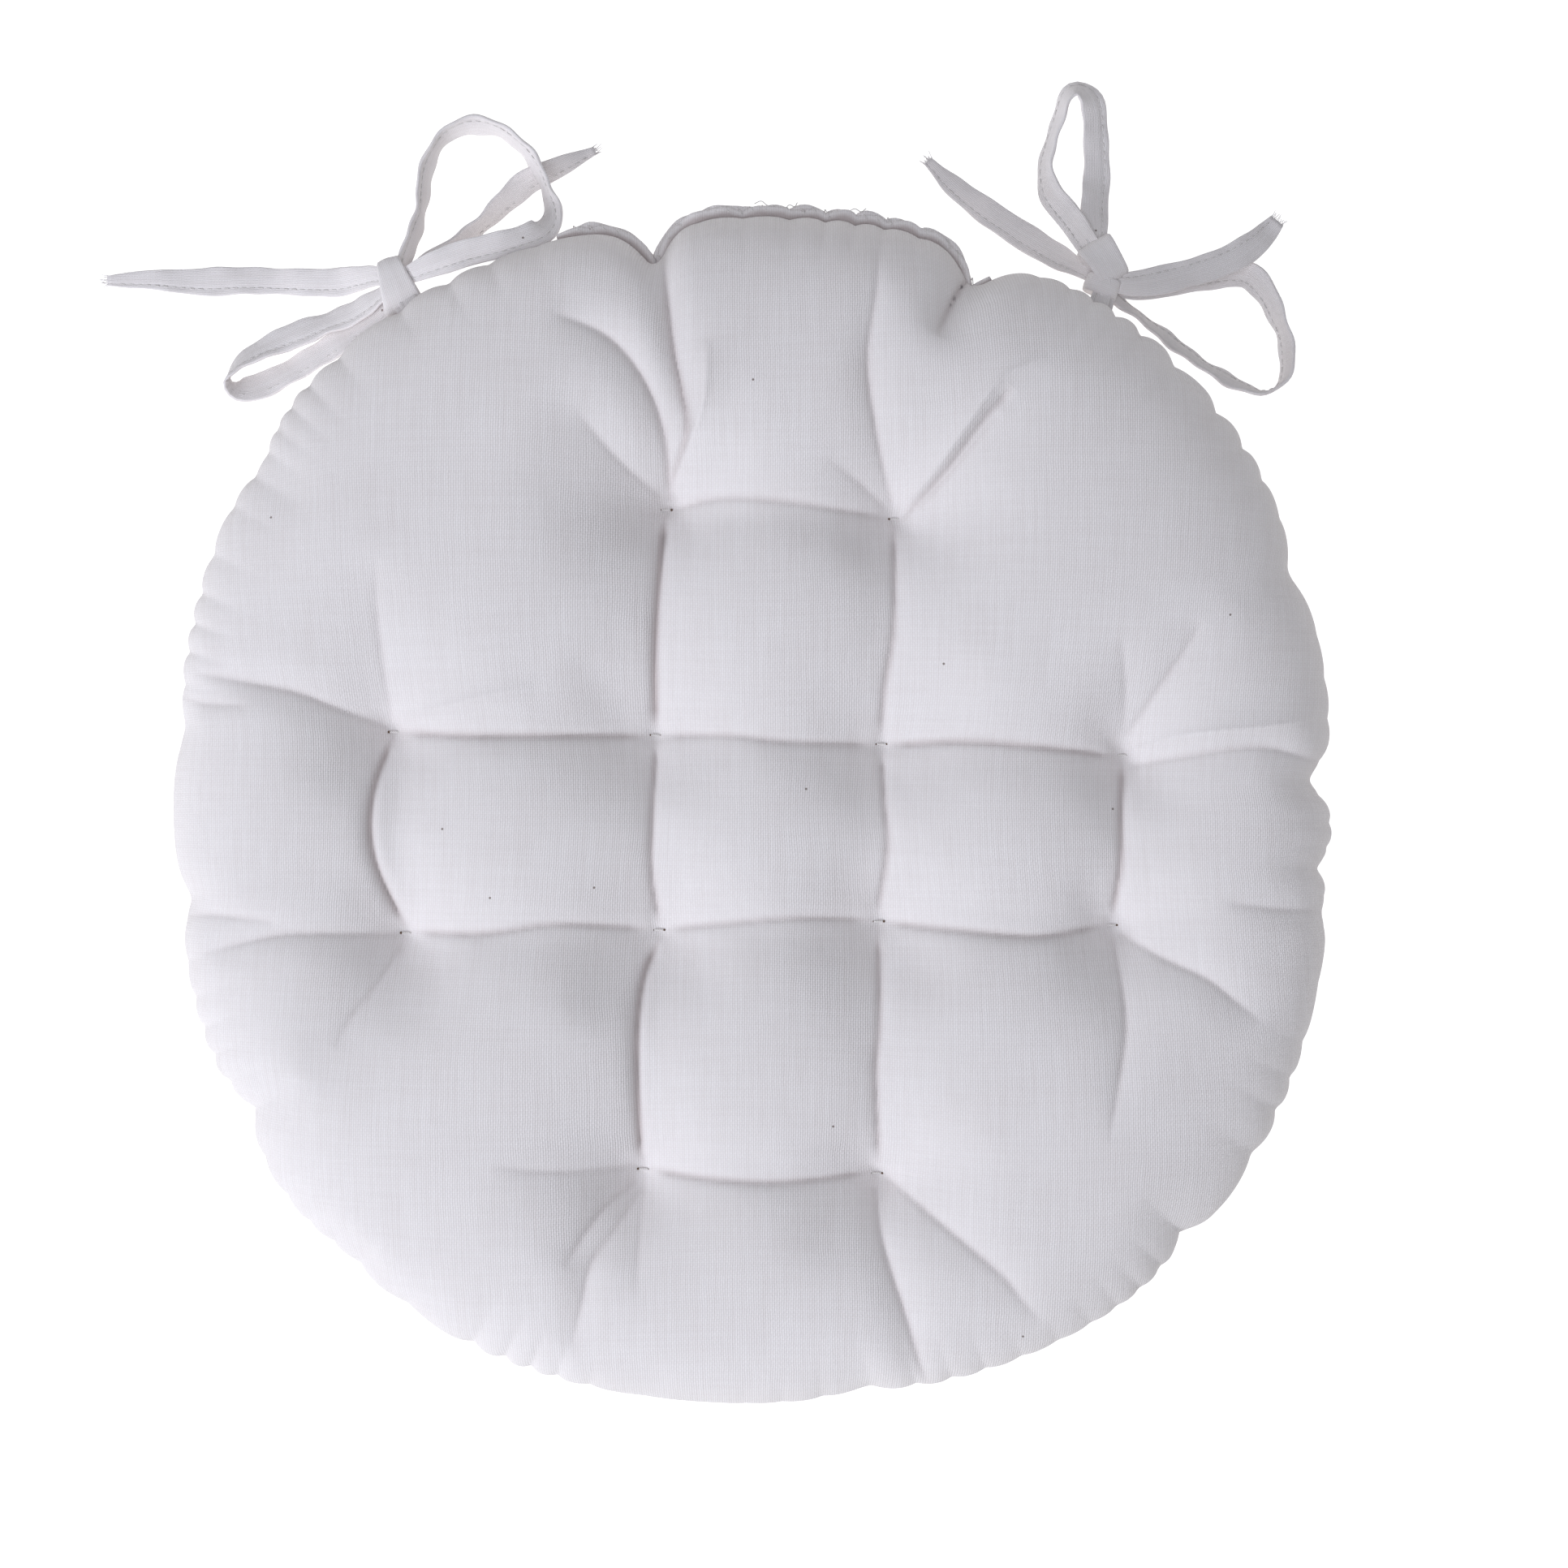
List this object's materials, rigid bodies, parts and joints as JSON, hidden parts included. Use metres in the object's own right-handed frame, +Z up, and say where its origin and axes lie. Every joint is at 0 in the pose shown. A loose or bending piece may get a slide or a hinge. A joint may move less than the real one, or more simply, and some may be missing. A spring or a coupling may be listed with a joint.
{
  "type": "chair seat pad",
  "caption": "Round tufted cotton seat pad for a chair, with a tie bow at each back corner to fasten it.",
  "frame": {"origin": "centre of the pad's underside, on the flat crown of the middle cell, where it rests", "axes": "+Z up through the pad's thickness, +Y towards the back of the seat where the ties are, +X to the right seen from above with the back away"},
  "size_m": [0.4222, 0.4466, 0.0598],
  "materials": {
    "cover_canvas": "undyed plain-weave cotton canvas, matt",
    "fibre_filling": "loose polyester fibre, matt white",
    "cotton_thread": "undyed sewing thread, matt",
    "tie_tape": "folded cotton tape, matt"
  },
  "bodies": {
    "pad": {"top_cover": "cover_canvas", "bottom_cover": "cover_canvas", "filling": "fibre_filling", "seam_thread": "cotton_thread", "closing_stitches": "cotton_thread", "tuft_01": "cotton_thread", "tuft_02": "cotton_thread", "tuft_03": "cotton_thread", "tuft_04": "cotton_thread", "tuft_05": "cotton_thread", "tuft_06": "cotton_thread", "tuft_07": "cotton_thread", "tuft_08": "cotton_thread", "tuft_09": "cotton_thread", "tuft_10": "cotton_thread", "tuft_11": "cotton_thread", "tuft_12": "cotton_thread"},
    "left_bow": {"left_tie_stem": "tie_tape", "left_tie_knot": "tie_tape", "left_tie_loop_side": "tie_tape", "left_tie_loop_back": "tie_tape", "left_tie_tail_side": "tie_tape", "left_tie_tail_back": "tie_tape"},
    "right_bow": {"right_tie_stem": "tie_tape", "right_tie_knot": "tie_tape", "right_tie_loop_side": "tie_tape", "right_tie_loop_back": "tie_tape", "right_tie_tail_side": "tie_tape", "right_tie_tail_back": "tie_tape"}
  },
  "joints": [
    {"name": "left_bow_lift", "type": "hinge", "parent": "pad", "child": "left_bow", "pos_m": [-0.11868, 0.17398, 0.028], "axis": [0.8261, 0.5635, 0], "range_deg": [0, 120]},
    {"name": "right_bow_lift", "type": "hinge", "parent": "pad", "child": "right_bow", "pos_m": [0.11868, 0.17398, 0.028], "axis": [0.8261, -0.5635, 0], "range_deg": [0, 120]}
  ]
}
